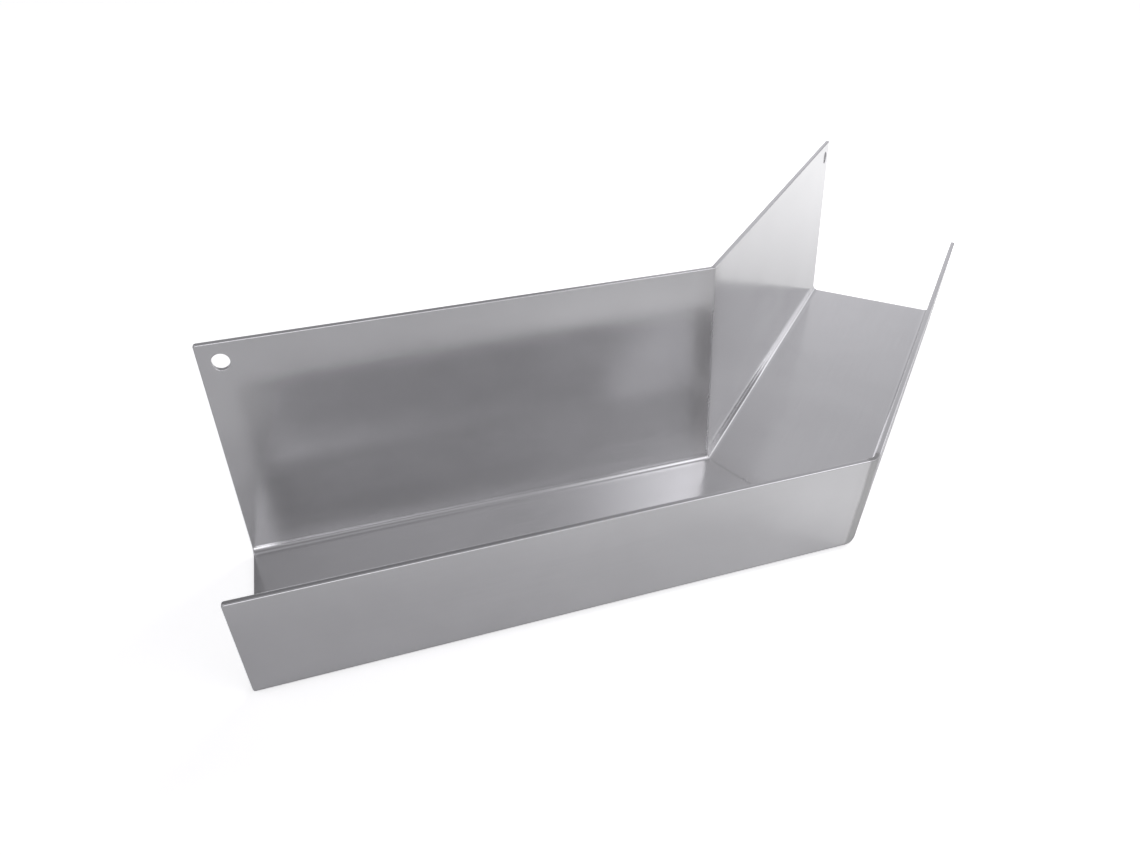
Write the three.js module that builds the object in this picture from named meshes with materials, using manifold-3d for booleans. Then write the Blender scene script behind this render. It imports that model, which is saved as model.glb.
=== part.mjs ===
// Wave slide: a sheet-steel play trough with a 45 degree bend in plan.
//
// Two folded channels, mirror images of each other, meet at a mitre and are
// joined by welds along the tall wall, the floor and the low wall. Units are
// millimetres and +Z is up. X runs across the mitre plane, so X = 0 is the
// plane of symmetry. The tall walls are on the +Y side, on the inside of the
// bend, and the low walls on the -Y side. The floor's underside is Z = 0.

import * as THREE from 'three';
import * as BufferGeometryUtils from 'three/addons/utils/BufferGeometryUtils.js';
import Module from 'manifold-3d';

// ---------------------------------------------------------------- dimensions
const SHEET = 3;                    // sheet thickness
const INSIDE_WIDTH = 100;           // flat floor line to flat floor line, wall to wall
const TALL_HEIGHT = 135;            // overall, from the underside
const LOW_HEIGHT = 66.5;            // overall, from the underside
const SPLAY = deg(3);               // both walls lean outwards
const BEND_RADIUS = 4.5;            // inside radius of the folds
const TURN = deg(45);               // bend of the trough in plan
const OUTER_LENGTH = 328;           // each leg, along the foot of its low wall
const EDGE_RADIUS = 0.8;            // deburred top edges
const CORNER_RADIUS = 1.5;          // rounded corners of the sheet at the free ends
const HOLE_DIAMETER = 9;            // clearance hole for an M8 fixing
const HOLE_FROM_END = 11;           // hole centre to the free end
const HOLE_FROM_TOP = 11;           // hole centre to the top edge, along the wall
const BEAD_HALF_WIDTH = 1.0;        // half the width of the weld metal
const GAP = 0.3;                    // between a channel and the weld metal
const FOLD_STEPS = 8;               // facets in each fold
const EDGE_STEPS = 3;               // facets in each rounded top edge

// ------------------------------------------------------------ derived values
const HALF = TURN / 2;                                        // mitre angle
const TALL_SLOPE = (TALL_HEIGHT - SHEET) / Math.cos(SPLAY);   // inside face, floor to top
const LOW_SLOPE = (LOW_HEIGHT - SHEET) / Math.cos(SPLAY);
const lean = (slope) => slope * Math.sin(SPLAY) + SHEET * Math.cos(SPLAY);
const FRONT_REACH = lean(LOW_SLOPE) / Math.cos(HALF);
const BACK_REACH = OUTER_LENGTH * Math.sin(HALF) + (INSIDE_WIDTH + lean(TALL_SLOPE)) * Math.cos(HALF);
const CORNER_Y = (FRONT_REACH - BACK_REACH) / 2;              // outer floor corner, so that Y is centred

function deg(a) { return a * Math.PI / 180; }

const wasm = await Module();
wasm.setup();

// ------------------------------------------------------------------- helpers
function solid(geometry) {
  const g = geometry.index ? geometry.toNonIndexed() : geometry.clone();
  for (const name of Object.keys(g.attributes)) if (name !== 'position') g.deleteAttribute(name);
  const merged = BufferGeometryUtils.mergeVertices(g, 1e-4);
  return new wasm.Manifold(new wasm.Mesh({
    numProp: 3,
    vertProperties: new Float32Array(merged.attributes.position.array),
    triVerts: new Uint32Array(merged.index.array),
  }));
}

function geometryOf(manifold) {
  const mesh = manifold.getMesh();
  const n = mesh.vertProperties.length / mesh.numProp;
  const position = new Float32Array(n * 3);
  for (let i = 0; i < n; i++) {
    for (let k = 0; k < 3; k++) position[3 * i + k] = mesh.vertProperties[i * mesh.numProp + k];
  }
  const g = new THREE.BufferGeometry();
  g.setAttribute('position', new THREE.BufferAttribute(position, 3));
  g.setIndex(Array.from(mesh.triVerts));
  g.computeVertexNormals();
  return g;
}

// Mirror a geometry in its own X = 0 plane and keep its faces pointing out.
function mirrored(geometry) {
  const g = geometry.clone();
  const p = g.attributes.position;
  for (let i = 0; i < p.count; i++) p.setX(i, -p.getX(i));
  const index = Array.from(g.index.array);
  for (let i = 0; i < index.length; i += 3) [index[i + 1], index[i + 2]] = [index[i + 2], index[i + 1]];
  g.setIndex(index);
  g.computeVertexNormals();
  return g;
}

// A box between two corners.
function block(lo, hi) {
  const g = new THREE.BoxGeometry(hi[0] - lo[0], hi[1] - lo[1], hi[2] - lo[2]);
  g.translate((hi[0] + lo[0]) / 2, (hi[1] + lo[1]) / 2, (hi[2] + lo[2]) / 2);
  return solid(g);
}

// ------------------------------------------------------- the folded section
// One leg's own frame: x along the leg away from the bend, y from the low wall
// to the tall wall, z up, with the floor's upper face at z = 0.
// Each wall is drawn as the tall wall is, and the low wall is its mirror.
const sin = Math.sin(SPLAY);
const cos = Math.cos(SPLAY);

function wallSide(slope) {
  const up = [sin, cos];
  const out = [cos, -sin];
  const run = BEND_RADIUS * (1 - sin) / cos;
  const centre = [run * sin - BEND_RADIUS * cos, BEND_RADIUS];
  const top = [slope * sin, slope * cos];
  const at = (c, r, a) => [c[0] + r * Math.cos(a), c[1] + r * Math.sin(a)];
  const outer = [];
  const inner = [];
  for (let i = 0; i <= FOLD_STEPS; i++) {
    const a = -Math.PI / 2 + (Math.PI / 2 - SPLAY) * i / FOLD_STEPS;
    outer.push(at(centre, BEND_RADIUS + SHEET, a));
    inner.push(at(centre, BEND_RADIUS, a));
  }
  // The rounded top edge, from the outer face over to the inner face.
  const edge = [];
  const corner = (along, a0) => {
    const c = [
      top[0] + out[0] * along - up[0] * EDGE_RADIUS,
      top[1] + out[1] * along - up[1] * EDGE_RADIUS,
    ];
    for (let i = 0; i <= EDGE_STEPS; i++) edge.push(at(c, EDGE_RADIUS, a0 + (Math.PI / 2) * i / EDGE_STEPS));
  };
  corner(SHEET - EDGE_RADIUS, -SPLAY);
  corner(EDGE_RADIUS, Math.PI / 2 - SPLAY);
  return { outer, edge, inner: inner.reverse() };
}

function section() {
  const tall = wallSide(TALL_SLOPE);
  const low = wallSide(LOW_SLOPE);
  const points = [];
  // Round the section: underside, tall wall outside, top, inside, floor, low wall.
  for (const p of [...tall.outer, ...tall.edge, ...tall.inner]) points.push([INSIDE_WIDTH + p[0], p[1]]);
  for (const p of [...low.outer, ...low.edge, ...low.inner].reverse()) points.push([-p[0], p[1]]);
  return new THREE.Shape(points.map((p) => new THREE.Vector2(p[0], p[1])));
}

// The section drawn along the leg. The shape's x and y become the leg's y and z,
// and the extrusion becomes its x.
function legBlank(from, to) {
  const g = new THREE.ExtrudeGeometry(section(), { depth: to - from, bevelEnabled: false, steps: 1 });
  const m = new THREE.Matrix4().makeBasis(
    new THREE.Vector3(0, 1, 0), new THREE.Vector3(0, 0, 1), new THREE.Vector3(1, 0, 0));
  g.applyMatrix4(m);
  g.translate(from, 0, 0);
  return solid(g);
}

// A frame on a wall of one leg: x along the leg, y up the inside face from the
// floor line, z outwards through the sheet.
function wallFrame(tall) {
  const side = tall ? 1 : -1;
  const up = new THREE.Vector3(0, side * sin, cos);
  const along = new THREE.Vector3(side, 0, 0);
  const out = new THREE.Vector3().crossVectors(along, up);       // towards the inside
  const m = new THREE.Matrix4().makeBasis(along, up, out);
  m.setPosition(0, tall ? INSIDE_WIDTH : 0, 0);
  return { m, side };
}

// What is cut from the sheet to round a top corner at the free end.
function cornerCutter(tall) {
  const slope = tall ? TALL_SLOPE : LOW_SLOPE;
  const { m, side } = wallFrame(tall);
  const s = new THREE.Shape();
  const x = OUTER_LENGTH;
  const r = CORNER_RADIUS;
  const pts = [[x + 2, slope - r], [x + 2, slope + 2], [x - r, slope + 2]];
  const arc = [];
  for (let i = 0; i <= 6; i++) {
    const a = Math.PI / 2 - (Math.PI / 2) * i / 6;
    arc.push([x - r + r * Math.cos(a), slope - r + r * Math.sin(a)]);
  }
  const all = [...pts, ...arc].map((p) => new THREE.Vector2(side * p[0], p[1]));
  s.setFromPoints(side > 0 ? all : all.reverse());
  const g = new THREE.ExtrudeGeometry(s, { depth: 20, bevelEnabled: false });
  g.translate(0, 0, -10);
  g.applyMatrix4(m);
  return solid(g);
}

// The fixing hole through the tall wall.
function holeCutter() {
  const { m } = wallFrame(true);
  const g = new THREE.CylinderGeometry(HOLE_DIAMETER / 2, HOLE_DIAMETER / 2, 20, 32);
  g.rotateX(Math.PI / 2);
  g.translate(OUTER_LENGTH - HOLE_FROM_END, TALL_SLOPE - HOLE_FROM_TOP, 0);
  g.applyMatrix4(m);
  return solid(g);
}

// Everything on the far side of the mitre, given in the leg's own frame. The
// mitre passes through x = y tan(HALF); clear is measured square to it.
function mitreCutter(clear) {
  const g = new THREE.BoxGeometry(400, 400, 400);
  g.translate(-200 + clear, 0, 0);
  g.rotateZ(-HALF);
  return solid(g);
}

// ---------------------------------------------------------------- the pieces
const channel = geometryOf(
  legBlank(-30, OUTER_LENGTH)
    .subtract(mitreCutter(BEAD_HALF_WIDTH + GAP))
    .subtract(cornerCutter(true))
    .subtract(cornerCutter(false))
    .subtract(holeCutter()));

// The weld metal follows both legs' sections across the mitre, in the frame of
// the whole part, and is then parted into the three runs.
function legInPart(geometry, right) {
  const g = right ? geometry.clone() : mirrored(geometry);
  g.rotateZ(right ? HALF : -HALF);
  g.translate(0, CORNER_Y, SHEET);
  return g;
}
const stub = geometryOf(legBlank(-30, 80));
const inHalf = (g, right) => solid(g).intersect(
  block(right ? [-0.01, -400, -50] : [-BEAD_HALF_WIDTH, -400, -50],
    right ? [BEAD_HALF_WIDTH, 400, 400] : [0.01, 400, 400]));
const seam = inHalf(legInPart(stub, true), true).add(inHalf(legInPart(stub, false), false));

const FOLD_TOP = SHEET + BEND_RADIUS + 0.5;       // just above the folds
const MIDDLE = CORNER_Y + INSIDE_WIDTH / 2;
const cut = (lo, hi) => geometryOf(seam.intersect(block(lo, hi)));
const tallBead = cut([-5, MIDDLE, FOLD_TOP + GAP / 2], [5, 400, 400]);
const lowBead = cut([-5, -400, FOLD_TOP + GAP / 2], [5, MIDDLE, 400]);
const floorBead = cut([-5, -400, -5], [5, 400, FOLD_TOP - GAP / 2]);

// -------------------------------------------------------------- scene graph
const steel = (color, roughness) => new THREE.MeshStandardMaterial({ color, roughness, metalness: 1 });

const group = new THREE.Group();
group.name = 'wave_slide';

const rightLeg = new THREE.Group();
rightLeg.position.set(0, CORNER_Y, SHEET);
rightLeg.rotation.z = HALF;
const leftLeg = new THREE.Group();
leftLeg.position.set(0, CORNER_Y, SHEET);
leftLeg.rotation.z = -HALF;
const weldment = new THREE.Group();
group.add(rightLeg, leftLeg, weldment);

function piece(parent, name, geometry, material) {
  const mesh = new THREE.Mesh(geometry, material);
  mesh.name = name;
  parent.add(mesh);
}
piece(rightLeg, 'right_channel', channel, steel(0xb4b4b9, 0.28));
piece(leftLeg, 'left_channel', mirrored(channel), steel(0xb4b4b9, 0.28));
piece(weldment, 'weld_tall_wall', tallBead, steel(0xa2a2a8, 0.4));
piece(weldment, 'weld_floor', floorBead, steel(0xa2a2a8, 0.4));
piece(weldment, 'weld_low_wall', lowBead, steel(0xa2a2a8, 0.4));

export default group;
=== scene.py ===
# Wave slide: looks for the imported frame. Lengths in the shape code are millimetres,
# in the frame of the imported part, and become metres when a mesh is made.
import math

import bpy
import numpy as np
from mathutils import Matrix, Vector, noise


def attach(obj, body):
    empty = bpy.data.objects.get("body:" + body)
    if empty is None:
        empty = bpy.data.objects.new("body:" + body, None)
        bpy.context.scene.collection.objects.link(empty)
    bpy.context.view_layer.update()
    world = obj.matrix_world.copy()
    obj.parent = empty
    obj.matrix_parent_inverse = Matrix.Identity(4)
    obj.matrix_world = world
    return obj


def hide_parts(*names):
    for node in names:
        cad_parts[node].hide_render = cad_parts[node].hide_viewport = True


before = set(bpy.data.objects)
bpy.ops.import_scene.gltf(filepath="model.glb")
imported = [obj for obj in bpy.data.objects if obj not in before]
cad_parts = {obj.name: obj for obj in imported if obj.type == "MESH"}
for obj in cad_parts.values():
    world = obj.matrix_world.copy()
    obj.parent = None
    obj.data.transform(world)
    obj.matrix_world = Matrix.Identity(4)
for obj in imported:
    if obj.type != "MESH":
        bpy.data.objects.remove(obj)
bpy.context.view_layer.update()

# ------------------------------------------------------------------ camera
SENSOR = 36.0
camera_data = bpy.data.cameras.new("camera")
camera_data.sensor_width = SENSOR
camera_data.lens = 26.084
camera_data.clip_start = 0.01
camera_data.clip_end = 60.0
camera = bpy.data.objects.new("camera", camera_data)
bpy.context.scene.collection.objects.link(camera)
bpy.context.scene.camera = camera
_right = Vector((0.76462468, -0.64434110, -0.01317767))
_down = Vector((-0.37523695, -0.42847494, -0.82195283))
_fwd = Vector((0.52397169, 0.63343017, -0.56940310))
_m = Matrix((_right, -_down, -_fwd)).transposed().to_4x4()
_m.translation = Vector((-0.347881, -0.281129, 0.331315))
camera.matrix_world = _m

# ----------------------------------------------------- dimensions of the part
S = 3.0                     # sheet
W = 100.0                   # floor line to floor line
SPLAY = math.radians(3.0)
R = 4.5                     # inside radius of the folds
H = math.radians(22.5)      # half of the turn
L = 328.0                   # leg, along the foot of the low wall
SN, CS = math.sin(SPLAY), math.cos(SPLAY)
TALL = (135.0 - S) / CS     # inside faces, floor to top
LOW = (66.5 - S) / CS
CORNER_R = 1.5
HOLE_R = 4.5
HOLE_S = L - 11.0
HOLE_T = TALL - 11.0
Y0 = -110.11119246500587
EDGE = 0.8                  # rounded edges of the sheet
HOLE_EDGE = 0.35
RUN = R * (1 - SN) / CS     # where a fold leaves the floor and the wall
TAN, COSH, SINH = math.tan(H), math.cos(H), math.sin(H)

# Ground corners: radius at the mitre of each upright face.
R_TALL_IN, R_TALL_OUT, R_LOW_IN, R_LOW_OUT = 2.4, 3.0, 3.0, 10.0


def fold_frame(side, a):
    """Centre of the fold and the direction at angle a, for the tall (+1) or low (-1) wall."""
    cu, cv = RUN * SN - R * CS, R
    base = W if side > 0 else 0.0
    return base + side * cu, cv, side * math.cos(a), math.sin(a)


def section(kind, p, w):
    """(u, v), the outward direction of the sheet's outer face (wu, wv), and the direction (tu, tv) of growing q.
    q runs from the top of the low wall, down it, across the floor and up the tall wall."""
    if kind == "tall":      # p is the length up the inside face from the floor line
        wu, wv, tu, tv = CS, -SN, SN, CS
        return W + p * SN + w * wu, p * CS + w * wv, wu, wv, tu, tv
    if kind == "low":
        wu, wv, tu, tv = -CS, -SN, SN, -CS
        return -p * SN + w * wu, p * CS + w * wv, wu, wv, tu, tv
    if kind == "floor":
        return p, -w, 0.0, -1.0, 1.0, 0.0
    side = 1 if kind == "tfold" else -1    # p is the angle
    cu, cv, du, dv = fold_frame(side, p)
    if side > 0:
        tu, tv = -dv, du
    else:
        tu, tv = -dv, du
        # on the low side the angle falls as q grows
    return cu + (R + w) * du, cv + (R + w) * dv, du, dv, tu, tv


def upright(kind, p, w):
    """How much of a rounded corner a face takes: 1 on the walls, 0 on the floor."""
    if kind in ("tall", "low"):
        return 1.0
    if kind == "floor":
        return 0.0
    return max(0.0, math.cos(p)) ** 2 if kind == "tfold" else max(0.0, math.cos(p)) ** 2


def corner_cut(radius, x):
    """How far the rounded mitre lies in +Y of the sharp one, and its slope in X."""
    x = abs(x)
    if radius <= 0 or x >= radius * SINH:
        return 0.0, 0.0
    y = radius / COSH - math.sqrt(radius * radius - x * x)
    return y - x * TAN, x / math.sqrt(radius * radius - x * x) - TAN


def shift(kind, p, w, x):
    """The move in Y at the mitre, and its slope in |X|: mixed between the faces, so that the rim follows."""
    k = upright(kind, p, w)
    f = min(max(w / S, 0.0), 1.0)
    if kind in ("tall", "tfold"):
        a, b = corner_cut(R_TALL_IN, x), corner_cut(R_TALL_OUT, x)
    else:
        a, b = corner_cut(R_LOW_IN, x), corner_cut(R_LOW_OUT, x)
    return k * (a[0] * (1 - f) + b[0] * f), k * (a[1] * (1 - f) + b[1] * f)


def to_part(s, u, v):
    """A point of the right leg's frame in the part's frame."""
    return (s * COSH - u * SINH, Y0 + s * SINH + u * COSH, v + S)


def place(station, kind, p, w):
    """The point and nothing else. station is ("x", X) near the mitre, or ("s", s)."""
    u, v = section(kind, p, w)[:2]
    if station[0] == "s":
        return to_part(station[1], u, v)
    x = station[1]
    dy = shift(kind, p, w, x)[0]
    return (x, Y0 + x * TAN + u / COSH + dy, v + S)


EX = np.array((COSH, SINH, 0.0))
EY = np.array((-SINH, COSH, 0.0))
EZ = np.array((0.0, 0.0, 1.0))


def direction(kind, p, ns, nq, nw):
    """A blank direction (along the leg, along q, through the sheet) in the part's frame."""
    _, _, wu, wv, tu, tv = section(kind, p, 0.0)
    return ns * EX + nq * (tu * EY + tv * EZ) + nw * (wu * EY + wv * EZ)


def bent_normal(station, kind, p, w, n):
    """n, tilted where the face is rounded at the mitre."""
    if station[0] != "x":
        return n
    slope = shift(kind, p, w, station[1])[1]
    if abs(slope) < 1e-9:
        return n
    # the surface y = y0(x, z): moving along x now also moves by slope in y
    m = n.copy()
    m[0] = n[0] - slope * n[1]
    return m / np.linalg.norm(m)


# --------------------------------------------------------------- one channel
FOLD = 14
ANGLES = [-math.pi / 2 + (math.pi / 2 - SPLAY) * i / FOLD for i in range(FOLD + 1)]
XS = [1.0, 1.3, 1.65, 2.0, 2.4, 2.8, 3.2, 3.55, 3.8268, 6.0, 12.0]
ARC = 8
RIM = 4


def build_channel():
    verts, normals, faces = [], [], []

    def add(co, n):
        verts.append(co)
        n = np.asarray(n, float)
        normals.append(n / np.linalg.norm(n))
        return len(verts) - 1

    # Rows across the section, in order of growing q. Each is (kind, p).
    low_rows = [("low", LOW - EDGE)]
    fold_low = [("lfold", a) for a in reversed(ANGLES)]       # wall down to the floor
    fold_tall = [("tfold", a) for a in ANGLES]                # floor up to the wall
    tall_rows = [("tall", HOLE_T), ("tall", TALL - EDGE)]
    rows = low_rows + fold_low + fold_tall + tall_rows
    stations = [("x", x) for x in XS]

    # Vertices of both skins, and the rim's rows at free edges.
    skins = []
    for w, sign in ((0.0, -1.0), (S, 1.0)):
        grid = {}
        for i, st in enumerate(stations):
            for j, (kind, p) in enumerate(rows):
                n = direction(kind, p, 0, 0, sign)
                grid[i, j] = add(place(st, kind, p, w), bent_normal(st, kind, p, w, n))
        skins.append(grid)

    last = len(stations) - 1
    nrows = len(rows)
    j_low_top, j_low_foot = 0, 1
    j_tall_foot, j_hole, j_tall_top = nrows - 3, nrows - 2, nrows - 1

    # The outline past the last station: a list of (s, kind, p, outward 2-D normal in (s, q)).
    # Low wall corner, then the end, then the tall wall corner.
    r_core = CORNER_R - EDGE
    outline = []
    for i in range(ARC + 1):                    # low corner, from the top edge round to the end
        a = math.pi / 2 * i / ARC
        s = L - CORNER_R + r_core * math.sin(a)
        t = LOW - CORNER_R + r_core * math.cos(a)
        outline.append((s, "low", t, (math.sin(a), -math.cos(a))))
    for kind, p in fold_low:
        outline.append((L - EDGE, kind, p, (1.0, 0.0)))
    for kind, p in fold_tall:
        outline.append((L - EDGE, kind, p, (1.0, 0.0)))
    outline.append((L - EDGE, "tall", HOLE_T, (1.0, 0.0)))
    for i in range(ARC + 1):
        a = math.pi / 2 * i / ARC
        s = L - CORNER_R + r_core * math.cos(a)
        t = TALL - CORNER_R + r_core * math.sin(a)
        outline.append((s, "tall", t, (math.cos(a), math.sin(a))))
    k_low_foot = ARC + 1
    k_tall_foot = k_low_foot + 2 * FOLD + 1
    k_hole = k_tall_foot + 1

    HOLE_N = 40
    hole = []
    for i in range(HOLE_N):                     # anticlockwise in (s, t), from the far side
        a = 2 * math.pi * i / HOLE_N
        rr = HOLE_R + HOLE_EDGE
        hole.append((HOLE_S + rr * math.cos(a), "tall", HOLE_T + rr * math.sin(a), (-math.cos(a), -math.sin(a))))

    rings = []
    for w, sign in ((0.0, -1.0), (S, 1.0)):
        o = [add(place(("s", s), k, p, w), direction(k, p, 0, 0, sign)) for s, k, p, _ in outline]
        h = [add(place(("s", s), k, p, w), direction(k, p, 0, 0, sign)) for s, k, p, _ in hole]
        rings.append((o, h))

    def face(loop, flip):
        faces.append(list(reversed(loop)) if flip else list(loop))

    for skin, (grid, (o, h)) in enumerate(zip(skins, rings)):
        flip = skin == 1
        for i in range(last):
            for j in range(nrows - 1):
                face([grid[i, j], grid[i + 1, j], grid[i + 1, j + 1], grid[i, j + 1]], flip)
        # low wall past the last station
        face([grid[last, 0]] + o[0:k_low_foot + 1] + [grid[last, 1]], flip)
        # folds and floor
        for j in range(j_low_foot, j_tall_foot):
            k = k_low_foot + (j - j_low_foot)
            face([grid[last, j], o[k], o[k + 1], grid[last, j + 1]], flip)
        # tall wall below and above the middle of the hole
        lower = [h[(HOLE_N - i) % HOLE_N] for i in range(HOLE_N // 2 + 1)]      # far side, under, near side
        face([grid[last, j_tall_foot], o[k_tall_foot], o[k_hole]] + lower + [grid[last, j_hole]], flip)
        upper = [h[i] for i in range(HOLE_N // 2, -1, -1)]                       # near side, over, far side
        face([grid[last, j_hole]] + upper + o[k_hole:] + [grid[last, j_tall_top]], flip)

    # Rims: an edge profile swept along each free boundary.
    def rim(points, inner, outer, radius, closed):
        """points: (station, kind, p at the skin, (ns, nq)); the ring between the two skins."""
        prof = []
        for m in range(1, RIM + 1):
            a = math.pi / 2 * m / RIM
            prof.append((radius * math.sin(a), radius * (1 - math.cos(a)), math.sin(a), -math.cos(a)))
        for m in range(0, RIM):
            a = math.pi / 2 * m / RIM
            prof.append((radius * math.cos(a), S - radius * (1 - math.sin(a)), math.cos(a), math.sin(a)))
        lines = [inner]
        for off, w, c_n, c_w in prof:
            line = []
            for st, kind, p, (ns, nq) in points:
                n = direction(kind, p, ns * c_n, nq * c_n, c_w)
                if kind == "tall":
                    pp = p + nq * off
                elif kind == "low":
                    pp = p - nq * off
                else:
                    pp = p
                st2 = (st[0], st[1] + ns * off)
                line.append(add(place(st2, kind, pp, w), bent_normal(st2, kind, pp, w, n)))
            lines.append(line)
        lines.append(outer)
        count = len(points)
        for a, b in zip(lines, lines[1:]):
            for i in range(count if closed else count - 1):
                i2 = (i + 1) % count
                face([a[i], b[i], b[i2], a[i2]], False)
        return lines

    # the free boundary from the mitre: low top edge out, round the end, tall top edge back
    pts, inner, outer = [], [], []
    for i, st in enumerate(stations):
        pts.append((st, "low", LOW - EDGE, (0.0, -1.0)))
        inner.append(skins[0][i, 0])
        outer.append(skins[1][i, 0])
    for k, (s, kind, p, n2) in enumerate(outline):
        pts.append((("s", s), kind, p, n2))
        inner.append(rings[0][0][k])
        outer.append(rings[1][0][k])
    for i in range(last, -1, -1):
        pts.append((stations[i], "tall", TALL - EDGE, (0.0, 1.0)))
        inner.append(skins[0][i, j_tall_top])
        outer.append(skins[1][i, j_tall_top])
    lines = rim(pts, inner, outer, EDGE, False)
    hpts = [(("s", s), k, p, n2) for s, k, p, n2 in hole]
    hl = rings[0][1], rings[1][1]
    rim(list(reversed(hpts)), list(reversed(hl[0])), list(reversed(hl[1])), HOLE_EDGE, True)

    # the mitre end, which lies inside the weld
    loop = [skins[0][0, j] for j in range(nrows)]
    loop += [line[-1] for line in lines[1:-1]]
    loop += [skins[1][0, j] for j in range(nrows - 1, -1, -1)]
    loop += [line[0] for line in reversed(lines[1:-1])]
    faces.append(loop)
    return np.array(verts), np.array(normals), faces


def mirror(verts, normals, faces):
    v, n = verts.copy(), normals.copy()
    v[:, 0] *= -1
    n[:, 0] *= -1
    return v, n, [list(reversed(f)) for f in faces]


def make_mesh(name, verts, normals, faces, sharp_last=0):
    mesh = bpy.data.meshes.new(name)
    mesh.from_pydata([tuple(c * 0.001 for c in v) for v in verts], [], faces)
    mesh.validate(clean_customdata=False)
    mesh.update()
    for poly in mesh.polygons:
        poly.use_smooth = True
    if normals is not None:
        mesh.normals_split_custom_set_from_vertices([tuple(n) for n in normals])
    ob = bpy.data.objects.new(name, mesh)
    bpy.context.scene.collection.objects.link(ob)
    return ob


def volume(verts, faces):
    total = 0.0
    for f in faces:
        a = verts[f[0]]
        for b, c in zip(f[1:], f[2:]):
            total += np.dot(a, np.cross(verts[b], verts[c])) / 6
    return total


cv, cn, cf = build_channel()
if volume(cv, cf) < 0:
    cf = [list(reversed(f)) for f in cf]
right = make_mesh("channel_right", cv, cn, cf)
lv, ln, lf = mirror(cv, cn, cf)
left = make_mesh("channel_left", lv, ln, lf)

# ------------------------------------------------------------------ the welds
BEAD_X = [-1.32, -1.2, -1.08, -0.96, -0.84, -0.66, -0.44, -0.22, 0.0,
          0.22, 0.44, 0.66, 0.84, 0.96, 1.08, 1.2, 1.32]


def crown(x):
    """How far the ground weld stands out of the faces beside it. It dives into the sheet at its edges."""
    x = abs(x)
    if x > 1.0:
        return -0.9 * (x - 1.0) - 0.01
    return 0.028 * (1 - x * x) - 0.01 * x


def wobble(co, seed, size):
    return noise.fractal(Vector((co[0] / size + seed, co[1] / size - seed, co[2] / size + 3.1 * seed)), 0.9, 2.1, 4)


# Small pits left in the ground weld, seen from above: (place along it, X, radius, depth).
FLOOR_PITS = [
    (96.6, 0.25, 0.75, 0.30), (95.3, -0.25, 0.55, 0.22), (88.0, 0.1, 0.6, 0.16), (71.0, -0.1, 0.7, 0.18),
    (55.5, 0.2, 0.5, 0.12), (38.0, 0.0, 0.6, 0.12), (17.0, -0.15, 0.6, 0.14),
]


def bead(rows_in, top=None, seed=1.0):
    """rows_in: [(kind, p)] along the inner face. top: None, "tall" or "low" says which end has a rounded free edge."""
    loop = []           # (kind, p, w, blank normal (nq, nw), which face)
    for kind, p in rows_in:
        loop.append((kind, p, 0.0, 0.0, -1.0, "in"))
    if top:
        sign = 1.0 if top == "tall" else -1.0
        crest = TALL if top == "tall" else LOW
        for m in range(1, 7):
            a = math.pi / 2 * m / 6
            loop.append((top, crest - EDGE + EDGE * math.sin(a), EDGE * (1 - math.cos(a)), sign * math.sin(a), -math.cos(a), "rim"))
        for m in range(0, 6):
            a = math.pi / 2 * m / 6
            loop.append((top, crest - EDGE + EDGE * math.cos(a), S - EDGE * (1 - math.sin(a)), sign * math.cos(a), math.sin(a), "rim"))
    for kind, p in reversed(rows_in):
        loop.append((kind, p, S, 0.0, 1.0, "out"))
    verts, faces = [], []
    count = len(loop)
    for x in BEAD_X:
        for kind, p, w, nq, nw, where in loop:
            base = np.array(place(("x", abs(x)), kind, p, w))
            base[0] = x
            _, _, wu, wv, tu, tv = section(kind, p, 0.0)
            n = np.array((0.0, (nq * tu + nw * wu) / COSH, nq * tv + nw * wv))
            n /= np.linalg.norm(n)
            off = crown(x)
            live = max(0.0, 1 - (abs(x) / 1.05) ** 4)
            rough = 0.030 * wobble(base, seed, 1.6) + 0.022 * wobble(base, seed + 7, 5.0)
            off += rough * live
            if where == "in" and kind in ("floor", "tfold", "lfold"):
                u = section(kind, p, w)[0]
                for pu, px, pr, pd in FLOOR_PITS:
                    d2 = ((u - pu) / pr) ** 2 + ((x - px) / (pr * 0.8)) ** 2
                    if d2 < 9:
                        off -= pd * math.exp(-d2) * min(1.0, live * 1.5)
            verts.append(base + n * off)
    verts = np.array(verts)
    for i in range(len(BEAD_X) - 1):
        for j in range(count):
            j2 = (j + 1) % count
            a, b = i * count, (i + 1) * count
            faces.append([a + j, a + j2, b + j2, b + j])
    faces.append([j for j in range(count)][::-1])
    faces.append([(len(BEAD_X) - 1) * count + j for j in range(count)])
    if volume(verts, faces) < 0:
        faces = [list(reversed(f)) for f in faces]
    return verts, faces


def along(a, b, step):
    n = max(1, int(round(abs(b - a) / step)))
    return [a + (b - a) * i / n for i in range(n + 1)]


CUT = (R + 0.5) / CS
BF = [-math.pi / 2 + (math.pi / 2 - SPLAY) * i / 10 for i in range(11)]
tall_rows = [("tall", t) for t in along(CUT, TALL - EDGE, 0.8)]
low_rows = [("low", t) for t in along(CUT, LOW - EDGE, 0.8)]
floor_rows = ([("low", CUT)] + [("lfold", a) for a in reversed(BF)]
              + [("floor", u) for u in along(RUN, W - RUN, 0.7)[1:-1]]
              + [("tfold", a) for a in BF] + [("tall", CUT)])

beads = {}
for name, rows, top, seed in (
    ("weld_bead_tall_wall", tall_rows, "tall", 1.3),
    ("weld_bead_low_wall", low_rows, "low", 4.7),
    ("weld_bead_floor", floor_rows, None, 8.9),
):
    bv, bf = bead(rows, top=top, seed=seed)
    ob = make_mesh(name, bv, None, bf)
    beads[name] = ob


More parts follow.
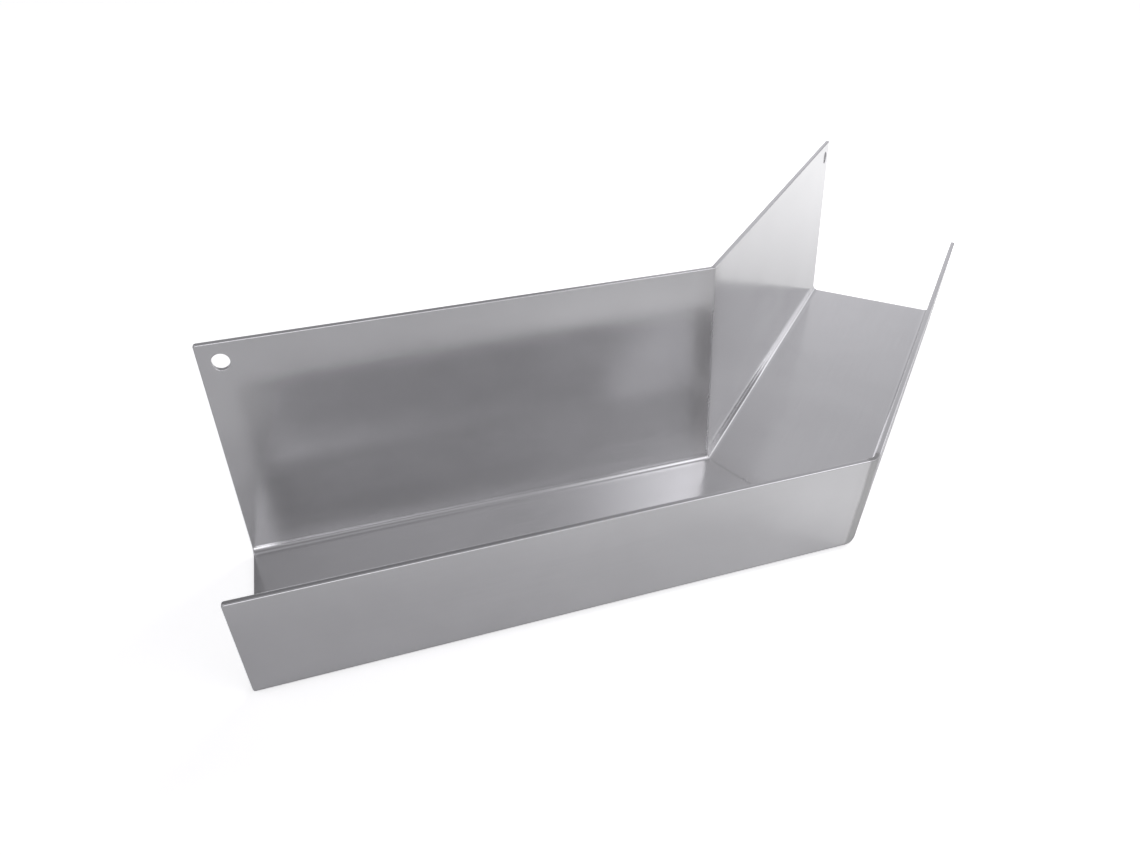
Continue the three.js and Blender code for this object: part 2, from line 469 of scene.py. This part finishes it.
# ----------------------------------------------------------------- materials
class Nodes:
    def __init__(self, material):
        material.use_nodes = True
        self.tree = material.node_tree
        self.tree.nodes.clear()

    def add(self, kind, **settings):
        node = self.tree.nodes.new(kind)
        for key, value in settings.items():
            if key.startswith("in_"):
                node.inputs[key[3:].replace("_", " ")].default_value = value
            else:
                setattr(node, key, value)
        return node

    def link(self, a, out, b, into):
        self.tree.links.new(a.outputs[out], b.inputs[into])

    def math(self, operation, a, b=None, clamp=False):
        node = self.tree.nodes.new("ShaderNodeMath")
        node.operation = operation
        node.use_clamp = clamp
        for index, value in enumerate((a, b)):
            if value is None:
                continue
            if isinstance(value, (int, float)):
                node.inputs[index].default_value = value
            else:
                self.tree.links.new(value, node.inputs[index])
        return node.outputs[0]

    def noise(self, vector, scale, detail=3.0, rough=0.5, distortion=0.0, out="Fac"):
        node = self.add("ShaderNodeTexNoise")
        node.inputs["Scale"].default_value = scale
        node.inputs["Detail"].default_value = detail
        node.inputs["Roughness"].default_value = rough
        node.inputs["Distortion"].default_value = distortion
        self.tree.links.new(vector, node.inputs["Vector"])
        return node.outputs[out]

    def stretched(self, vector, scale, rotation=(0.0, 0.0, 0.0)):
        node = self.add("ShaderNodeMapping")
        node.inputs["Scale"].default_value = scale
        node.inputs["Rotation"].default_value = rotation
        self.tree.links.new(vector, node.inputs["Vector"])
        return node.outputs["Vector"]

    def ramp(self, value, low, high, out_low, out_high, smooth=True):
        node = self.add("ShaderNodeMapRange")
        node.interpolation_type = "SMOOTHSTEP" if smooth else "LINEAR"
        node.inputs["From Min"].default_value = low
        node.inputs["From Max"].default_value = high
        node.inputs["To Min"].default_value = out_low
        node.inputs["To Max"].default_value = out_high
        self.tree.links.new(value, node.inputs["Value"])
        return node.outputs["Result"]


STEEL_BASE = (0.860, 0.859, 0.862)
WELD_BASE = (0.75, 0.747, 0.75)


def steel_material(name, base, grain_turn, rough_mid, weld=False, seed=0.0):
    material = bpy.data.materials.new(name)
    g = Nodes(material)
    out = g.add("ShaderNodeOutputMaterial")
    shader = g.add("ShaderNodeBsdfPrincipled")
    g.link(shader, "BSDF", out, "Surface")
    shader.inputs["Metallic"].default_value = 1.0
    coord = g.add("ShaderNodeTexCoord")
    place_ = g.add("ShaderNodeMapping")
    place_.inputs["Location"].default_value = (seed, seed * 0.7, 0.0)
    place_.inputs["Rotation"].default_value = (0.0, 0.0, grain_turn)
    g.link(coord, "Object", place_, "Vector")
    local = place_.outputs["Vector"]
    here = coord.outputs["Object"]

    split = g.add("ShaderNodeSeparateXYZ")
    g.tree.links.new(here, split.inputs[0])
    x_abs = g.math("ABSOLUTE", split.outputs["X"])

    # Rolling grain along the leg, cloudy handling marks, and fine rubbed lines.
    grain = g.noise(g.stretched(local, (22.0, 900.0, 900.0)), 1.0, 3.0, 0.6)
    cloud = g.noise(local, 14.0, 4.0, 0.55, 0.6)
    smudge = g.noise(g.stretched(local, (9.0, 34.0, 34.0), (0.0, 0.5, 0.2)), 1.0, 4.0, 0.6, 0.8)
    rubbed = g.noise(g.stretched(local, (60.0, 1400.0, 500.0), (0.35, 0.6, 0.15)), 1.0, 2.0, 0.5)
    near_weld = g.ramp(g.math("ADD", x_abs, g.math("MULTIPLY", g.math("SUBTRACT", cloud, 0.5), 0.010)), 0.0015, 0.013, 1.0, 0.0)

    # Colour: a little darker in the grain and the clouds, and greyer by the weld.
    mix1 = g.add("ShaderNodeMix", data_type="RGBA")
    dark = tuple(c * 0.965 for c in base) + (1.0,)
    mix1.inputs[6].default_value = dark
    mix1.inputs[7].default_value = tuple(min(1.0, c * 1.012) for c in base) + (1.0,)
    g.tree.links.new(g.ramp(g.math("ADD", g.math("MULTIPLY", grain, 0.30), g.math("MULTIPLY", cloud, 0.70)), 0.34, 0.66, 0.0, 1.0), mix1.inputs[0])
    # The outside of the low corner is ground round, and duller; its colour is also darkened there as painted shade,
    # standing in for the darker reflection along the rounded corner.
    ground_and_painted_shade = g.math("MULTIPLY", g.ramp(g.math("ADD", x_abs, g.math("MULTIPLY", g.math("SUBTRACT", cloud, 0.5), 0.004)), 0.0036, 0.0056, 1.0, 0.0), g.ramp(split.outputs["Y"], -0.1092, -0.1084, 1.0, 0.0))
    mix2 = g.add("ShaderNodeMix", data_type="RGBA")
    g.tree.links.new(g.math("MULTIPLY", near_weld, 0.45 if not weld else 0.0), mix2.inputs[0])
    g.tree.links.new(mix1.outputs[2], mix2.inputs[6])
    mix2.inputs[7].default_value = (base[0] * 0.90, base[1] * 0.89, base[2] * 0.885, 1.0)
    mix3 = g.add("ShaderNodeMix", data_type="RGBA")
    # painted shade: the darker colour laid on the outside of the low corner stands in for its darker reflection; the
    # mask also makes the ground strip rougher
    g.tree.links.new(g.math("MULTIPLY", ground_and_painted_shade, 0.8), mix3.inputs[0])
    g.tree.links.new(mix2.outputs[2], mix3.inputs[6])
    mix3.inputs[7].default_value = (0.52, 0.52, 0.51, 1.0)
    g.tree.links.new(mix3.outputs[2], shader.inputs["Base Color"])

    # Roughness.
    r = g.math("ADD", g.ramp(smudge, 0.35, 0.75, rough_mid - 0.012, rough_mid + 0.035), g.math("MULTIPLY", g.math("SUBTRACT", grain, 0.5), 0.015))
    r = g.math("ADD", r, g.math("MULTIPLY", g.ramp(rubbed, 0.60, 0.80, 0.0, 1.0), 0.025))
    r = g.math("ADD", r, g.math("MULTIPLY", ground_and_painted_shade, 0.12))
    r = g.math("ADD", r, g.math("MULTIPLY", near_weld, 0.05), clamp=True)
    g.tree.links.new(r, shader.inputs["Roughness"])

    # Bump: long waves of the sheet, and the grain.
    wave = g.noise(g.stretched(local, (5.0, 13.0, 13.0)), 1.0, 1.5, 0.4)
    bump1 = g.add("ShaderNodeBump")
    bump1.inputs["Strength"].default_value = 1.0
    bump1.inputs["Distance"].default_value = 0.00022 if not weld else 0.00004
    g.tree.links.new(wave, bump1.inputs["Height"])
    bump2 = g.add("ShaderNodeBump")
    bump2.inputs["Strength"].default_value = 1.0
    bump2.inputs["Distance"].default_value = 0.0000005 if not weld else 0.000012
    g.tree.links.new(grain if not weld else g.noise(local, 1500.0, 3.0, 0.6), bump2.inputs["Height"])
    g.tree.links.new(bump1.outputs["Normal"], bump2.inputs["Normal"])
    g.tree.links.new(bump2.outputs["Normal"], shader.inputs["Normal"])
    return material


steel_right = steel_material("steel_right", STEEL_BASE, -H, 0.172, seed=0.0)
steel_left = steel_material("steel_left", STEEL_BASE, H, 0.172, seed=1.7)
weld_metal = steel_material("weld_metal", WELD_BASE, 0.0, 0.20, weld=True, seed=3.1)

right.data.materials.append(steel_right)
left.data.materials.append(steel_left)
for ob in beads.values():
    ob.data.materials.append(weld_metal)

for ob, node, slot in (
    (right, "right_channel", "sheet_steel"),
    (left, "left_channel", "sheet_steel"),
    (beads["weld_bead_tall_wall"], "weld_tall_wall", "weld_metal"),
    (beads["weld_bead_low_wall"], "weld_low_wall", "weld_metal"),
    (beads["weld_bead_floor"], "weld_floor", "weld_metal"),
):
    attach(ob, "root")
    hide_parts(node)

# --------------------------------------------------------------------- stage
floor_mesh = bpy.data.meshes.new("floor")
_n = 96
floor_mesh.from_pydata([(5.0 * math.cos(2 * math.pi * i / _n), 5.0 * math.sin(2 * math.pi * i / _n), -0.0002) for i in range(_n)], [], [list(range(_n))])
floor = bpy.data.objects.new("floor", floor_mesh)
bpy.context.scene.collection.objects.link(floor)
floor_material = bpy.data.materials.new("floor_pale")
fg = Nodes(floor_material)
f_out = fg.add("ShaderNodeOutputMaterial")
f_shader = fg.add("ShaderNodeBsdfDiffuse")
f_shader.inputs["Color"].default_value = (0.74, 0.74, 0.74, 1.0)
# The floor is a lit pale table: it shows paler than what it throws back on the steel.
f_glow = fg.add("ShaderNodeEmission")
f_light = fg.add("ShaderNodeLightPath")
f_sum = fg.add("ShaderNodeAddShader")
fg.tree.links.new(fg.math("MULTIPLY", f_light.outputs["Is Camera Ray"], 0.66), f_glow.inputs["Strength"])
fg.link(f_shader, "BSDF", f_sum, 0)
fg.link(f_glow, "Emission", f_sum, 1)
fg.link(f_sum, 0, f_out, "Surface")
floor.data.materials.append(floor_material)

# A soft even studio: a pale world, brighter low on the right and overhead in front.
world = bpy.data.worlds.new("studio")
bpy.context.scene.world = world
wg = Nodes(world)
w_out = wg.add("ShaderNodeOutputWorld")
w_back = wg.add("ShaderNodeBackground")
wg.link(w_back, "Background", w_out, "Surface")
w_coord = wg.add("ShaderNodeTexCoord")


def towards(az, el):
    a, e = math.radians(az), math.radians(el)
    return (math.sin(a) * math.cos(e), math.cos(a) * math.cos(e), math.sin(e))


def glow(az, el, inner, outer, amount):
    dot = wg.add("ShaderNodeVectorMath", operation="DOT_PRODUCT")
    wg.tree.links.new(w_coord.outputs["Generated"], dot.inputs[0])
    dot.inputs[1].default_value = towards(az, el)
    return wg.ramp(dot.outputs["Value"], math.cos(math.radians(outer)), math.cos(math.radians(inner)), 0.0, amount)


# Azimuth from +Y towards +X and elevation, the angles where it is full and where it ends, and how much.
WORLD_BASE = 0.18
GLOWS = [
    (-180, 4, 0, 26, 0.47),
    (-150, 4, 0, 26, 1.24),
    (-100, 8, 0, 34, 0.23),
    (20, 6, 0, 30, 0.12),
    (60, 6, 0, 26, 0.31),
    (140, 4, 0, 26, 0.22),
    (-167, 24, 0, 24, 0.11),
    (-141, 24, 0, 24, 0.18),
    (58, 30, 0, 24, 0.28),
    (93, 24, 0, 24, 0.30),
    (150, 24, 0, 24, 0.47),
    (-175, 44, 0, 22, 0.12),
    (-145, 44, 0, 24, 0.08),
    (150, 44, 0, 22, 1.08),
    (178, 61, 2, 12, 0.13),
    (150, 62, 2, 12, 0.31),
    (-60, 50, 0, 34, 0.48),
    (105, 56, 0, 28, 0.23),
    (0, 88, 0, 30, 0.14),
    (160, 58, 2, 9, 0.46),
    (106, 14, 6, 20, 0.82),
    (172, 42, 3, 11, 0.28),
    (150, 40, 4, 22, 0.16),
]
level = None
for values in GLOWS:
    level = wg.math("ADD", glow(*values), WORLD_BASE if level is None else level)
# Seen straight on, the backdrop is the same plain white as the floor.
w_light = wg.add("ShaderNodeLightPath")
seen = w_light.outputs["Is Camera Ray"]
level = wg.math("ADD", wg.math("MULTIPLY", level, wg.math("SUBTRACT", 1.0, seen)), wg.math("MULTIPLY", seen, 1.05))
wg.tree.links.new(level, w_back.inputs["Strength"])
w_back.inputs["Color"].default_value = (0.995, 0.985, 1.035, 1.0)


def area(name, location, target, size, power, glossy=True):
    data = bpy.data.lights.new(name, "AREA")
    data.shape = "DISK"
    data.size = size
    data.energy = power
    ob = bpy.data.objects.new(name, data)
    bpy.context.scene.collection.objects.link(ob)
    ob.location = location
    ob.rotation_mode = "QUATERNION"
    ob.rotation_quaternion = (Vector(target) - Vector(location)).to_track_quat("-Z", "Y")
    ob.visible_glossy = glossy
    return ob


# It lights the floor behind and to the right, and the faces don't show it.
area("key", (0.75, 0.20, 0.70), (0.70, 0.18, 0.0), 0.6, 5.2, glossy=False)

# A soft pool of light on the floor in front of the bend.
pool = bpy.data.objects.new("pool", bpy.data.lights.new("pool", "SPOT"))
pool.data.energy = 10.3
pool.data.spot_size = math.radians(24.0)
pool.data.spot_blend = 1.0
pool.data.shadow_soft_size = 0.12
bpy.context.scene.collection.objects.link(pool)
pool.location = (0.12, -0.42, 1.15)
pool.rotation_mode = "QUATERNION"
pool.rotation_quaternion = (Vector((0.0, -0.15, 0.0)) - Vector(pool.location)).to_track_quat("-Z", "Y")
pool.visible_glossy = False

bpy.context.scene.view_settings.view_transform = "Standard"
# Light passes many times between the walls.
cycles = getattr(bpy.context.scene, "cycles", None)
if cycles is not None:
    cycles.max_bounces = 24
    cycles.glossy_bounces = 24
    cycles.diffuse_bounces = 4
